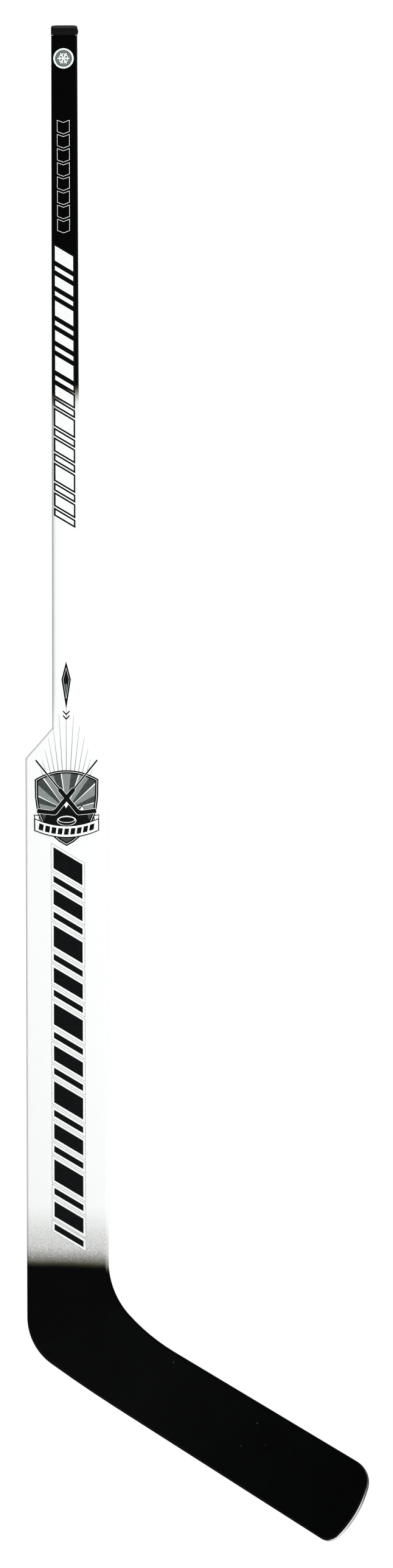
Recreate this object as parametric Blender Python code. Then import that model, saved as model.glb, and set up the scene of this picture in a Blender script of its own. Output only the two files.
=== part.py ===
"""Goaltender's ice hockey stick: hollow shaft, wide paddle and bowed blade.

Upright pose: the shaft runs along +Z, the toe points to +X and the forehand
face looks to -Y. The origin is where the blocker hand holds the shaft. The lower stick is
a sandwich: two thin skins over foam cores, ribs, edge rails and dense blocks, all bonded.
"""
import math

import bmesh
import bpy
from mathutils import Vector

# ------------------------------------------------------------------ driving dimensions, metres
FIT = 0.0003  # clearance between bonded pieces

GRIP_TO_SHOULDER = 0.0500  # origin down to the top of the shoulder
SHAFT_LENGTH = 0.7647  # top of the shoulder to the top of the butt cap
SHAFT_WIDTH_BUTT = 0.0285
SHAFT_WIDTH_SHOULDER = 0.0305
SHAFT_CORNER = 0.0042  # radius of the tube's four long edges
THICKNESS = 0.0200  # shaft, paddle and heel, front to back
TUBE_WALL = 0.0018

CAP_HEIGHT = 0.0103
CAP_PROUD = 0.0004  # the cap stands out past the tube all round
CAP_ROUND = 0.0030  # radius round the cap's top edge
SPIGOT_LENGTH = 0.0280
SPIGOT_WALL = 0.0022

TENON_ABOVE = 0.0600  # up the bore of the shaft tube
TENON_BELOW = 0.1200  # down between the paddle ribs
TENON_LEAD = 0.0020  # taper at the tenon's upper end
TENON_CORNER = 0.0020

PADDLE_WIDTH = 0.0889
PADDLE_LENGTH = 0.6458  # foot of the shoulder slope to the sharp corner of the heel
SHOULDER_DROP = 0.0331  # height of the shoulder slope
SHOULDER_CORNER = 0.0060
SHOULDER_BLOCK = 0.0300  # the dense shoulder blocks reach this far below the slope
SKIN = 0.0008
EDGE_RAIL = 0.0050  # width of the paddle's edge rails
RIB = 0.0012

SOLE_ANGLE = math.radians(32.7)  # the sole falls this far below the horizontal
BLADE_LENGTH = 0.3990  # sharp heel corner to the end of the toe, along the sole
BLADE_HEIGHT_HEEL = 0.0820  # sole to top edge, at the sharp heel corner
BLADE_FLARE = math.radians(1.57)  # the blade grows towards the toe
HEEL_RADIUS = 0.0630
HEEL_TURN = math.radians(54.0)  # share of the heel's turn on the tight radius
SOLE_ROCKER = 1.5000  # slow radius between the heel and the straight sole
THROAT_RADIUS = 0.0880  # inner corner between paddle and blade
THROAT_TURN = math.radians(42.0)
THROAT_EASE = 0.2160  # slower radius that runs out into the top edge
TOE_LOWER_RADIUS = 0.0163
TOE_LOWER_TURN = math.radians(77.0)
TOE_END_TURN = math.radians(29.5)
TOE_UPPER_RADIUS = 0.0268

HEEL_TOP = 0.0120  # the heel block reaches this far above the throat
HEEL_REACH = 0.1050  # the heel block ends this far along the sole
TOE_MARGIN = 0.0050  # the toe block starts this far before the toe's corners
BLADE_TOP_RAIL = 0.0060
BLADE_SOLE_RAIL = 0.0080
STRINGER = 0.0015

BOW_AFTER_HEEL = 0.0200  # straight blade between the heel block and the start of the bow
BOW_ANGLE = math.radians(10.0)  # turn of the blade face between there and the toe
TOE_THICKNESS = 0.0170
BOW_STEP = 0.0200  # the bowed pieces have a facet this long

ARC_STEP = math.radians(7.0)
CORNER_STEPS = 4

# ------------------------------------------------------------------ sizes that follow from them
SHOULDER_TOP = -GRIP_TO_SHOULDER
SHOULDER_FOOT = SHOULDER_TOP - SHOULDER_DROP
BUTT_TOP = SHOULDER_TOP + SHAFT_LENGTH
TUBE_TOP = BUTT_TOP - CAP_HEIGHT - FIT
LOWER_TOP = SHOULDER_TOP - FIT  # the paddle's own pieces start just under the tube
HALF_PADDLE = PADDLE_WIDTH / 2
HALF_NECK = SHAFT_WIDTH_SHOULDER / 2
HALF_THICK = THICKNESS / 2
CORE_FACE = HALF_THICK - SKIN - FIT  # half thickness of all that lies between the skins
CHANNEL = HALF_NECK - RIB - FIT  # half width of the channel between the ribs

SOLE = Vector((math.cos(SOLE_ANGLE), -math.sin(SOLE_ANGLE)))  # along the sole, to the toe
RISE = Vector((math.sin(SOLE_ANGLE), math.cos(SOLE_ANGLE)))  # square to the sole, upwards
HEEL_CORNER = Vector((-HALF_PADDLE, SHOULDER_FOOT - PADDLE_LENGTH))
BOW_START = HEEL_REACH + BOW_AFTER_HEEL  # along the sole, where bow and taper begin
TOP_ANGLE = SOLE_ANGLE - BLADE_FLARE
TOP_EDGE = Vector((math.cos(TOP_ANGLE), -math.sin(TOP_ANGLE)))


def on_blade(along, up):
    """The point (x, z) this far along the sole from the heel corner and this far above it."""
    return HEEL_CORNER + SOLE * along + RISE * up


# ------------------------------------------------------------------ outlines in X and Z
def arc(start, heading, radius, turn):
    """Points of an arc that leaves start along heading and turns left by turn."""
    steps = max(2, math.ceil(turn / ARC_STEP))
    centre = start + radius * Vector((-math.sin(heading), math.cos(heading)))
    points = []
    for step in range(1, steps + 1):
        angle = heading + turn * step / steps
        points.append(centre + radius * Vector((math.sin(angle), -math.cos(angle))))
    return points


def arcs(start, heading, pieces):
    """Arcs (radius, turn) one after another, with the start point first."""
    points = [start]
    for radius, turn in pieces:
        points += arc(points[-1], heading, radius, turn)
        heading += turn
    return points


def rounded_corner(before, corner, after, radius):
    """Points of an arc that rounds a corner of the outline where it turns left."""
    heading = (corner - before).normalized()
    leaving = (after - corner).normalized()
    turn = math.acos(heading.dot(leaving))
    start = corner - heading * radius * math.tan(turn / 2)
    return arcs(start, math.atan2(heading.y, heading.x), [(radius, turn)])


def drop_to_line(x, heading, pieces, line_point, line_direction):
    """Start of the arcs on the upright at x, so that they end on the given line."""
    end = arcs(Vector((x, 0.0)), heading, pieces)[-1]
    on_line = line_point.y + (end.x - line_point.x) * line_direction.y / line_direction.x
    return Vector((x, on_line - end.y))


def heel_outline():
    pieces = [(HEEL_RADIUS, HEEL_TURN), (SOLE_ROCKER, math.pi / 2 - SOLE_ANGLE - HEEL_TURN)]
    start = drop_to_line(-HALF_PADDLE, -math.pi / 2, pieces, HEEL_CORNER, SOLE)
    return arcs(start, -math.pi / 2, pieces)


def throat_outline():
    """From the paddle's right edge down into the blade's top edge."""
    pieces = [(THROAT_RADIUS, THROAT_TURN), (THROAT_EASE, math.pi / 2 - TOP_ANGLE - THROAT_TURN)]
    top = on_blade(0.0, BLADE_HEIGHT_HEEL)
    start = drop_to_line(HALF_PADDLE, -math.pi / 2, pieces, top, TOP_EDGE)
    return arcs(start, -math.pi / 2, pieces)


def toe_outline():
    """Three arcs round the toe. The middle one's radius makes them end on the top edge."""
    first = TOE_LOWER_TURN
    second = first + TOE_END_TURN
    last = math.pi + BLADE_FLARE
    flare = math.tan(BLADE_FLARE)
    upper_back = TOE_UPPER_RADIUS * (math.sin(last) - math.sin(second))
    target = BLADE_HEIGHT_HEEL + flare * (BLADE_LENGTH + upper_back)
    target -= TOE_LOWER_RADIUS * (1 - math.cos(first))
    target -= TOE_UPPER_RADIUS * (math.cos(second) - math.cos(last))
    middle = target / (math.cos(first) - math.cos(second) + flare * (1 - math.sin(second)))
    start = BLADE_LENGTH - TOE_LOWER_RADIUS * math.sin(first) - middle * (1 - math.sin(first))
    pieces = [(TOE_LOWER_RADIUS, first), (middle, TOE_END_TURN), (TOE_UPPER_RADIUS, last - second)]
    flat = arcs(Vector((start, 0.0)), 0.0, pieces)
    return [on_blade(point.x, point.y) for point in flat]


def shoulder_corner(side):
    """The rounded foot of the shoulder slope, from the slope down to the edge."""
    neck = Vector((-HALF_NECK, LOWER_TOP))
    foot = Vector((-HALF_PADDLE, SHOULDER_FOOT))
    points = rounded_corner(neck, foot, foot - Vector((0.0, 1.0)), SHOULDER_CORNER)
    return [Vector((point.x * -side, point.y)) for point in points]


def lower_outline():
    """Paddle and blade in one closed outline, running down the left edge first."""
    points = [Vector((-HALF_NECK, LOWER_TOP))]
    points += shoulder_corner(-1)
    points += heel_outline()
    points += toe_outline()
    points += reversed(throat_outline())
    points += reversed(shoulder_corner(1))
    points.append(Vector((HALF_NECK, LOWER_TOP)))
    return points


def keep(outline, point, direction):
    """The part of an outline that lies past point in the given direction."""
    kept = []
    for here, there in zip(outline, outline[1:] + outline[:1]):
        side_here = (here - point).dot(direction)
        side_there = (there - point).dot(direction)
        if side_here >= 0:
            kept.append(here)
        if side_here * side_there < 0:
            kept.append(here.lerp(there, side_here / (side_here - side_there)))
    return kept


def box_outline(left, right, low, high):
    corners = ((left, low), (right, low), (right, high), (left, high))
    return [Vector(corner) for corner in corners]


# ------------------------------------------------------------------ solids
def finish(name, mesh, look):
    """Put a closed mesh in the stick's collection, with its faces outwards."""
    form = bmesh.new()
    form.from_mesh(mesh)
    bmesh.ops.remove_doubles(form, verts=form.verts, dist=1e-6)
    bmesh.ops.recalc_face_normals(form, faces=form.faces)
    form.to_mesh(mesh)
    form.free()
    mesh.name = name
    mesh.materials.clear()
    mesh.materials.append(look)
    mesh.set_sharp_from_angle(angle=math.radians(30))
    piece = bpy.data.objects.new(name, mesh)
    stick.objects.link(piece)
    return piece


def bow(mesh):
    """Bend the blade to the forehand side and thin it towards the toe."""
    form = bmesh.new()
    form.from_mesh(mesh)
    radius = (BLADE_LENGTH - BOW_START) / BOW_ANGLE
    stations = math.ceil((BLADE_LENGTH - BOW_START) / BOW_STEP)
    for station in range(stations):
        x, z = on_blade(BOW_START + station * BOW_STEP, 0.0)
        everything = form.verts[:] + form.edges[:] + form.faces[:]
        bmesh.ops.bisect_plane(form, geom=everything, dist=1e-6, plane_co=(x, 0, z),
                               plane_no=(SOLE.x, 0, SOLE.y))
    for corner in form.verts:
        flat = Vector((corner.co.x, corner.co.z)) - HEEL_CORNER
        past = flat.dot(SOLE) - BOW_START
        if past > 0:
            thinning = (1 - TOE_THICKNESS / THICKNESS) * past / (BLADE_LENGTH - BOW_START)
            depth = corner.co.y * (1 - thinning)
            along = BOW_START + (radius + depth) * math.sin(past / radius)
            x, z = on_blade(along, flat.dot(RISE))
            corner.co = (x, (radius + depth) * math.cos(past / radius) - radius, z)
    form.to_mesh(mesh)
    form.free()


def plate(name, outline, look, front=-CORE_FACE, back=CORE_FACE, bowed=False):
    """A flat outline in X and Z with its thickness from front to back along Y."""
    drawing = bpy.data.curves.new(name, "CURVE")
    drawing.dimensions = "2D"
    drawing.fill_mode = "BOTH"
    drawing.extrude = (back - front) / 2
    line = drawing.splines.new("POLY")
    line.points.add(len(outline) - 1)
    for corner, (x, z) in zip(line.points, outline):
        corner.co = (x, z, 0.0, 1.0)
    line.use_cyclic_u = True
    drawn = bpy.data.objects.new(name + "_drawing", drawing)
    drawn.rotation_euler.x = math.pi / 2
    drawn.location.y = (front + back) / 2
    stick.objects.link(drawn)
    evaluated = drawn.evaluated_get(bpy.context.evaluated_depsgraph_get())
    mesh = bpy.data.meshes.new_from_object(evaluated)
    mesh.transform(evaluated.matrix_world)
    bpy.data.objects.remove(drawn)
    if bowed:
        bow(mesh)
    return finish(name, mesh, look)


def section(half_width, half_depth, corner, height):
    """A rounded rectangle of points round the shaft's axis."""
    points = []
    for quarter in range(4):
        side_x = 1 if quarter in (0, 3) else -1
        side_y = 1 if quarter in (0, 1) else -1
        for step in range(CORNER_STEPS + 1):
            angle = math.pi / 2 * (quarter + step / CORNER_STEPS)
            x = side_x * (half_width - corner) + corner * math.cos(angle)
            y = side_y * (half_depth - corner) + corner * math.sin(angle)
            points.append((x, y, height))
    return points


def loft(name, sections, look, ring=False):
    """Skin unlike sections in order: capped at both ends, or closed in a ring."""
    form = bmesh.new()
    rows = [[form.verts.new(point) for point in row] for row in sections]
    pairs = list(zip(rows, rows[1:]))
    if ring:
        pairs.append((rows[-1], rows[0]))
    else:
        form.faces.new(rows[0])
        form.faces.new(rows[-1])
    for row, following in pairs:
        for index in range(len(row)):
            beside = (index + 1) % len(row)
            form.faces.new((row[index], row[beside], following[beside], following[index]))
    mesh = bpy.data.meshes.new(name)
    form.to_mesh(mesh)
    form.free()
    return finish(name, mesh, look)


def look(name, colour, roughness, metallic=0.0):
    """A plain material with the piece's own colour."""
    material = bpy.data.materials.new(name)
    material.use_nodes = True
    shader = material.node_tree.nodes["Principled BSDF"]
    shader.inputs["Base Color"].default_value = (*colour, 1.0)
    shader.inputs["Roughness"].default_value = roughness
    shader.inputs["Metallic"].default_value = metallic
    return material


# ------------------------------------------------------------------ pieces of the shaft
def half_width_at(height):
    share = (height - SHOULDER_TOP) / SHAFT_LENGTH
    return (SHAFT_WIDTH_SHOULDER + (SHAFT_WIDTH_BUTT - SHAFT_WIDTH_SHOULDER) * share) / 2


def make_shaft_tube():
    def ring(height, inset):
        return section(half_width_at(height) - inset, HALF_THICK - inset, SHAFT_CORNER - inset,
                       height)

    rings = [ring(SHOULDER_TOP, 0), ring(TUBE_TOP, 0), ring(TUBE_TOP, TUBE_WALL),
             ring(SHOULDER_TOP, TUBE_WALL)]
    loft("shaft_tube", rings, look("shaft_paint", (0.02, 0.02, 0.022), 0.3), ring=True)


def make_butt_end_cap():
    """A moulded cap with a hollow spigot that is bonded into the bore."""
    under = BUTT_TOP - CAP_HEIGHT
    spigot_end = under - SPIGOT_LENGTH
    spigot_inset = TUBE_WALL + FIT
    bore_inset = spigot_inset + SPIGOT_WALL
    spigot_corner = SHAFT_CORNER - TUBE_WALL
    bore_corner = spigot_corner / 2
    half_width = half_width_at(TUBE_TOP)
    outer_width = half_width + CAP_PROUD
    outer_depth = HALF_THICK + CAP_PROUD
    outer_corner = SHAFT_CORNER + CAP_PROUD
    rows = []
    for inset, corner, height in ((bore_inset, bore_corner, under),
                                  (bore_inset, bore_corner, spigot_end),
                                  (spigot_inset, spigot_corner, spigot_end),
                                  (spigot_inset, spigot_corner, under)):
        rows.append(section(half_width - inset, HALF_THICK - inset, corner, height))
    rows.append(section(outer_width, outer_depth, outer_corner, under))
    for step in range(CORNER_STEPS + 1):
        angle = math.pi / 2 * step / CORNER_STEPS
        inset = CAP_ROUND * (1 - math.cos(angle))
        height = BUTT_TOP - CAP_ROUND * (1 - math.sin(angle))
        rows.append(section(outer_width - inset, outer_depth - inset, outer_corner - inset,
                            height))
    loft("butt_end_cap", rows, look("cap_plastic", (0.03, 0.03, 0.03), 0.6))


def make_paddle_tenon():
    """A stepped block: wide between the paddle ribs, slimmer up the tube's bore."""
    low = SHOULDER_TOP - TENON_BELOW
    high = SHOULDER_TOP + TENON_ABOVE
    bore_width = half_width_at(high) - TUBE_WALL - FIT
    bore_depth = HALF_THICK - TUBE_WALL - FIT
    rows = [section(CHANNEL, CORE_FACE, TENON_CORNER, low),
            section(CHANNEL, CORE_FACE, TENON_CORNER, LOWER_TOP),
            section(bore_width, bore_depth, TENON_CORNER, LOWER_TOP),
            section(bore_width, bore_depth, TENON_CORNER, high - TENON_LEAD),
            section(bore_width - TENON_LEAD / 2, bore_depth - TENON_LEAD / 2, TENON_CORNER / 2,
                    high)]
    loft("paddle_tenon", rows, look("tenon_wood", (0.55, 0.38, 0.2), 0.6))


# ------------------------------------------------------------------ pieces of the paddle
def make_paddle(outline, block_foot, heel_top):
    foam = look("paddle_foam", (0.78, 0.72, 0.55), 0.9)
    carbon = look("rib_carbon", (0.05, 0.05, 0.055), 0.4)
    dense = look("dense_foam", (0.6, 0.5, 0.33), 0.8)
    rail = look("rail_plastic", (0.85, 0.85, 0.83), 0.5)
    core_top = block_foot - FIT
    core_end = heel_top + FIT
    tenon_end = SHOULDER_TOP - TENON_BELOW
    rail_inner = HALF_PADDLE - EDGE_RAIL
    plate("paddle_core_center", box_outline(-CHANNEL, CHANNEL, core_end, tenon_end - FIT), foam)
    for word, side in (("left", -1), ("right", 1)):
        def beside(near, far, low, high):
            left, right = sorted((near * side, far * side))
            return box_outline(left, right, low, high)

        plate("paddle_rib_" + word, beside(HALF_NECK - RIB, HALF_NECK, core_end, LOWER_TOP),
              carbon)
        plate("paddle_core_" + word,
              beside(HALF_NECK + FIT, rail_inner - FIT, core_end, core_top), foam)
        plate("paddle_edge_" + word, beside(rail_inner, HALF_PADDLE, core_end, core_top), rail)
        outside = Vector((side * (HALF_NECK + FIT), block_foot))
        block = keep(outline, outside, Vector((side, 0.0)))
        block = keep(block, outside, Vector((0.0, 1.0)))
        plate("shoulder_block_" + word, block, dense)


# ------------------------------------------------------------------ pieces of heel and blade
def make_blade(outline, heel_top, toe_cut):
    foam = look("blade_foam", (0.8, 0.76, 0.6), 0.9)
    carbon = look("stringer_carbon", (0.05, 0.05, 0.055), 0.4)
    wood = look("heel_wood", (0.6, 0.42, 0.24), 0.6)
    rail = look("sole_plastic", (0.12, 0.12, 0.12), 0.5)

    heel = keep(outline, Vector((0.0, heel_top)), Vector((0.0, -1.0)))
    plate("heel_block", keep(heel, on_blade(HEEL_REACH, 0.0), -SOLE), wood)
    plate("toe_block", keep(outline, on_blade(toe_cut, 0.0), SOLE), rail, bowed=True)

    middle_angle = SOLE_ANGLE - BLADE_FLARE / 2
    between = keep(outline, on_blade(HEEL_REACH + FIT, 0.0), SOLE)
    between = keep(between, on_blade(toe_cut - FIT, 0.0), -SOLE)
    from_top = Vector((math.sin(TOP_ANGLE), math.cos(TOP_ANGLE)))
    from_middle = Vector((math.sin(middle_angle), math.cos(middle_angle)))
    top = on_blade(0.0, BLADE_HEIGHT_HEEL)
    middle = on_blade(0.0, BLADE_HEIGHT_HEEL / 2)
    sole = on_blade(0.0, 0.0)

    def layer(low, low_normal, high, high_normal):
        return keep(keep(between, low, low_normal), high, -high_normal)

    under_rail = top - from_top * BLADE_TOP_RAIL
    over_rail = sole + RISE * BLADE_SOLE_RAIL
    half_stringer = from_middle * STRINGER / 2
    plate("blade_edge_top", keep(between, under_rail, from_top), rail, bowed=True)
    plate("blade_edge_sole", keep(between, over_rail, -RISE), rail, bowed=True)
    plate("blade_stringer", layer(middle - half_stringer, from_middle,
                                  middle + half_stringer, from_middle), carbon, bowed=True)
    plate("blade_core_upper", layer(middle + half_stringer + from_middle * FIT, from_middle,
                                    under_rail - from_top * FIT, from_top), foam, bowed=True)
    plate("blade_core_lower", layer(over_rail + RISE * FIT, RISE,
                                    middle - half_stringer - from_middle * FIT, from_middle),
          foam, bowed=True)


def make_skins(outline):
    """Front and back skins, parted along the mitre line from the heel to the throat."""
    white = look("paddle_paint", (0.9, 0.9, 0.88), 0.3)
    black = look("blade_paint", (0.012, 0.012, 0.014), 0.25)
    top = on_blade(0.0, BLADE_HEIGHT_HEEL)
    inner_z = top.y + (HALF_PADDLE - top.x) * TOP_EDGE.y / TOP_EDGE.x
    mitre = (Vector((HALF_PADDLE, inner_z)) - HEEL_CORNER).normalized()
    above = Vector((-mitre.y, mitre.x))
    paddle = keep(outline, HEEL_CORNER + above * FIT / 2, above)
    blade = keep(outline, HEEL_CORNER - above * FIT / 2, -above)
    for word, front, back in (("front", -HALF_THICK, -HALF_THICK + SKIN),
                              ("back", HALF_THICK - SKIN, HALF_THICK)):
        plate("paddle_skin_" + word, paddle, white, front, back)
        plate("blade_skin_" + word, blade, black, front, back, bowed=True)


# ------------------------------------------------------------------ the stick
for old in list(bpy.data.objects):
    bpy.data.objects.remove(old)
stick = bpy.data.collections.new("goal_stick")
bpy.context.scene.collection.children.link(stick)

whole = lower_outline()
toe_arcs = toe_outline()
toe_start = min((point - HEEL_CORNER).dot(SOLE) for point in (toe_arcs[0], toe_arcs[-1]))
heel_block_top = throat_outline()[0].y + HEEL_TOP

make_shaft_tube()
make_butt_end_cap()
make_paddle_tenon()
make_paddle(whole, SHOULDER_FOOT - SHOULDER_BLOCK, heel_block_top)
make_blade(whole, heel_block_top, toe_start - TOE_MARGIN)
make_skins(whole)
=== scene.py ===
import math

import bmesh
import bpy
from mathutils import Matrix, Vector


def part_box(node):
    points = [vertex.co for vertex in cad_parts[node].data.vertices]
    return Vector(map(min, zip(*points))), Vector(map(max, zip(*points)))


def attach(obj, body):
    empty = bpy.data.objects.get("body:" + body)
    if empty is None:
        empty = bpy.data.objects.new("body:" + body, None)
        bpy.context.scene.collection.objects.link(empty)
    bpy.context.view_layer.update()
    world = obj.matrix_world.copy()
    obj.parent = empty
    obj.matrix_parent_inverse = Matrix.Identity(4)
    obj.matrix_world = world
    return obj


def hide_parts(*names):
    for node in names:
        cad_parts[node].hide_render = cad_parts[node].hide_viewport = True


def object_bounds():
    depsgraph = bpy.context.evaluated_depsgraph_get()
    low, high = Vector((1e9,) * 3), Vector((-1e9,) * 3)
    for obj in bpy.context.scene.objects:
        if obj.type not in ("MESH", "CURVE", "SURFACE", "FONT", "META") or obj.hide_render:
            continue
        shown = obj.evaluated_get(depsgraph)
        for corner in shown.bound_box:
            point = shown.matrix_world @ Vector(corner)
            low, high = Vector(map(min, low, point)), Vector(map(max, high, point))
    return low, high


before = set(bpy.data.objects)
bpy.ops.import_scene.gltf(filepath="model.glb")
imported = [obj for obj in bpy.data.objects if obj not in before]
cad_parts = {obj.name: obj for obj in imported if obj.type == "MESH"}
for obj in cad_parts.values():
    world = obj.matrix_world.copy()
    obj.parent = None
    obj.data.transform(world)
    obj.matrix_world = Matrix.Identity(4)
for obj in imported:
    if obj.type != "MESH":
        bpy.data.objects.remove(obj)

cadLow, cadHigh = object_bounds()  # the box of the bare frame, before anything is dressed
print("goal stick: frame loaded")

# Places that come from the frame. Everything is in metres, X and Z in the plane of the paddle.
shaftLow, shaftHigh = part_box("shaft_tube")
capLow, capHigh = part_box("butt_end_cap")
skinLow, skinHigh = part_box("paddle_skin_front")
halfThick = shaftHigh.y
halfNeck = shaftHigh.x
halfPaddle = -skinLow.x
shoulderTop = shaftLow.z

mm = 0.001

stickShape = {
    "shoulderDrop": 0.0331,
    "shoulderCorner": 0.0060,
    "paddleLength": 0.6458,  # foot of the shoulder slope to the sharp corner of the heel
    "soleAngle": math.radians(32.7),
    "bladeLength": 0.3990,
    "bladeHeight": 0.0820,
    "bladeFlare": math.radians(1.57),
    "heelArcs": ((0.0630, math.radians(54.0)), (1.5000, None)),
    "throatArcs": ((0.0880, math.radians(42.0)), (0.2160, None)),
    "toeLower": (0.0163, math.radians(77.0)),
    "toeEndTurn": math.radians(29.5),
    "toeUpperRadius": 0.0268,
    "bowStart": 0.1250,
    "bowAngle": math.radians(10.0),
    "toeThickness": 0.0170,
}

soleAngle = stickShape["soleAngle"]
alongSole = Vector((math.cos(soleAngle), -math.sin(soleAngle)))
aboveSole = Vector((math.sin(soleAngle), math.cos(soleAngle)))
topAngle = soleAngle - stickShape["bladeFlare"]
alongTop = Vector((math.cos(topAngle), -math.sin(topAngle)))
shoulderFoot = shoulderTop - stickShape["shoulderDrop"]
heelCorner = Vector((-halfPaddle, shoulderFoot - stickShape["paddleLength"]))


# ---- outlines, as points in X and Z that run anticlockwise ----
def onBlade(along, up):
    return heelCorner + alongSole * along + aboveSole * up


def arcRun(start, heading, runs, arcStep):
    points = [start]
    for radius, turn in runs:
        origin = points[-1]
        steps = max(3, math.ceil(turn / arcStep))
        centre = origin + radius * Vector((-math.sin(heading), math.cos(heading)))
        for step in range(1, steps + 1):
            angle = heading + turn * step / steps
            points.append(centre + radius * Vector((math.sin(angle), -math.cos(angle))))
        heading += turn
    return points


def runToLine(x, runs, totalTurn, linePoint, lineDirection, arcStep):
    # arcs that leave the upright at x downwards and end on the given line
    slow = (runs[1][0], totalTurn - runs[0][1])
    loose = arcRun(Vector((x, 0.0)), -math.pi / 2, (runs[0], slow), arcStep)
    end = loose[-1]
    onLine = linePoint.y + (end.x - linePoint.x) * lineDirection.y / lineDirection.x
    return [point + Vector((0.0, onLine - end.y)) for point in loose]


def toeRun(arcStep):
    lowerRadius, first = stickShape["toeLower"]
    upperRadius = stickShape["toeUpperRadius"]
    second = first + stickShape["toeEndTurn"]
    last = math.pi + stickShape["bladeFlare"]
    flare = math.tan(stickShape["bladeFlare"])
    length = stickShape["bladeLength"]
    target = stickShape["bladeHeight"]
    target += flare * (length + upperRadius * (math.sin(last) - math.sin(second)))
    target -= lowerRadius * (1 - math.cos(first))
    target -= upperRadius * (math.cos(second) - math.cos(last))
    middle = target / (math.cos(first) - math.cos(second) + flare * (1 - math.sin(second)))
    start = length - lowerRadius * math.sin(first) - middle * (1 - math.sin(first))
    runs = ((lowerRadius, first), (middle, second - first), (upperRadius, last - second))
    return [onBlade(point.x, point.y) for point in arcRun(Vector((start, 0.0)), 0.0, runs, arcStep)]


def shoulderRun(side, neckTop, arcStep):
    neck = Vector((-halfNeck, neckTop))
    foot = Vector((-halfPaddle, shoulderFoot))
    slope = (foot - neck).normalized()
    turn = math.acos(slope.dot(Vector((0.0, -1.0))))
    radius = stickShape["shoulderCorner"]
    start = foot - slope * radius * math.tan(turn / 2)
    points = arcRun(start, math.atan2(slope.y, slope.x), ((radius, turn),), arcStep)
    return [Vector((point.x * -side, point.y)) for point in points]


def heelRun(arcStep):
    turn = math.pi / 2 - soleAngle
    return runToLine(-halfPaddle, stickShape["heelArcs"], turn, heelCorner, alongSole, arcStep)


def throatRun(arcStep):
    top = onBlade(0.0, stickShape["bladeHeight"])
    turn = math.pi / 2 - topAngle
    return runToLine(halfPaddle, stickShape["throatArcs"], turn, top, alongTop, arcStep)


def lowerOutline(neckEnd, arcStep=math.radians(3.0)):
    # paddle and blade, with the neck carried straight up to neckEnd
    neckTop = skinHigh.z
    points = [Vector((-halfNeck, neckEnd)), Vector((-halfNeck, neckTop))]
    points += shoulderRun(-1, neckTop, arcStep)
    points += heelRun(arcStep)
    points += toeRun(arcStep)
    points += reversed(throatRun(arcStep))
    points += reversed(shoulderRun(1, neckTop, arcStep))
    points += [Vector((halfNeck, neckTop)), Vector((halfNeck, neckEnd))]
    return points


def insetRing(outline, inset):
    # every edge of the outline moves inwards by inset
    ring = []
    for index, here in enumerate(outline):
        first = (here - outline[index - 1]).normalized()
        second = (outline[(index + 1) % len(outline)] - here).normalized()
        outwards = Vector((first.y + second.y, -first.x - second.x)).normalized()
        square = outwards.dot(Vector((first.y, -first.x)))
        ring.append(here - outwards * inset / max(square, 0.25))
    return ring


# ---- closed bodies from outlines ----
def stackRings(form, rings):
    rows = [[form.verts.new(point) for point in ring] for ring in rings]
    for row, following in zip(rows, rows[1:]):
        for index in range(len(row)):
            beside = (index + 1) % len(row)
            form.faces.new((row[index], row[beside], following[beside], following[index]))
    return rows


def layerForm(outline, profile):
    # profile holds pairs of inset and depth, and the first and last rings are capped
    form = bmesh.new()
    rings = []
    for inset, depth in profile:
        rings.append([(point.x, depth, point.y) for point in insetRing(outline, inset)])
    rows = stackRings(form, rings)
    form.faces.new(rows[0])
    form.faces.new(rows[-1])
    return form


def trim(form, point, away):
    # takes off what lies past the plane through point, and closes the cut
    everything = form.verts[:] + form.edges[:] + form.faces[:]
    cut = bmesh.ops.bisect_plane(form, geom=everything, dist=1e-7, plane_co=(point[0], 0.0, point[1]),
                                 plane_no=(away[0], 0.0, away[1]), clear_outer=True)
    edges = [part for part in cut["geom_cut"] if isinstance(part, bmesh.types.BMEdge)]
    bmesh.ops.edgeloop_fill(form, edges=edges)


def bowForm(form, facet=0.006):
    # bends the blade to the forehand side and thins it towards the toe
    start = stickShape["bowStart"]
    length = stickShape["bladeLength"] - start
    radius = length / stickShape["bowAngle"]
    thinning = 1 - stickShape["toeThickness"] / (2 * halfThick)
    for station in range(math.ceil(length / facet)):
        x, z = onBlade(start + station * facet, 0.0)
        everything = form.verts[:] + form.edges[:] + form.faces[:]
        bmesh.ops.bisect_plane(form, geom=everything, dist=1e-6, plane_co=(x, 0.0, z),
                               plane_no=(alongSole.x, 0.0, alongSole.y))
    for corner in form.verts:
        flat = Vector((corner.co.x, corner.co.z)) - heelCorner
        past = flat.dot(alongSole) - start
        if past > 0:
            depth = corner.co.y * (1 - thinning * past / length)
            x, z = onBlade(start + (radius + depth) * math.sin(past / radius), flat.dot(aboveSole))
            corner.co = (x, (radius + depth) * math.cos(past / radius) - radius, z)


def newPiece(name, form, material):
    bmesh.ops.recalc_face_normals(form, faces=form.faces)
    mesh = bpy.data.meshes.new(name)
    form.to_mesh(mesh)
    form.free()
    mesh.materials.append(material)
    piece = bpy.data.objects.new(name, mesh)
    bpy.context.scene.collection.objects.link(piece)
    return piece


def finishPiece(name, form, material, nodes=(), sharpAngle=28.0):
    bmesh.ops.remove_doubles(form, verts=form.verts, dist=1e-6)
    piece = newPiece(name, form, material)
    piece.data.shade_smooth()
    piece.data.set_sharp_from_angle(angle=math.radians(sharpAngle))
    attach(piece, "root")
    if nodes:
        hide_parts(*nodes)
    return piece


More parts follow.
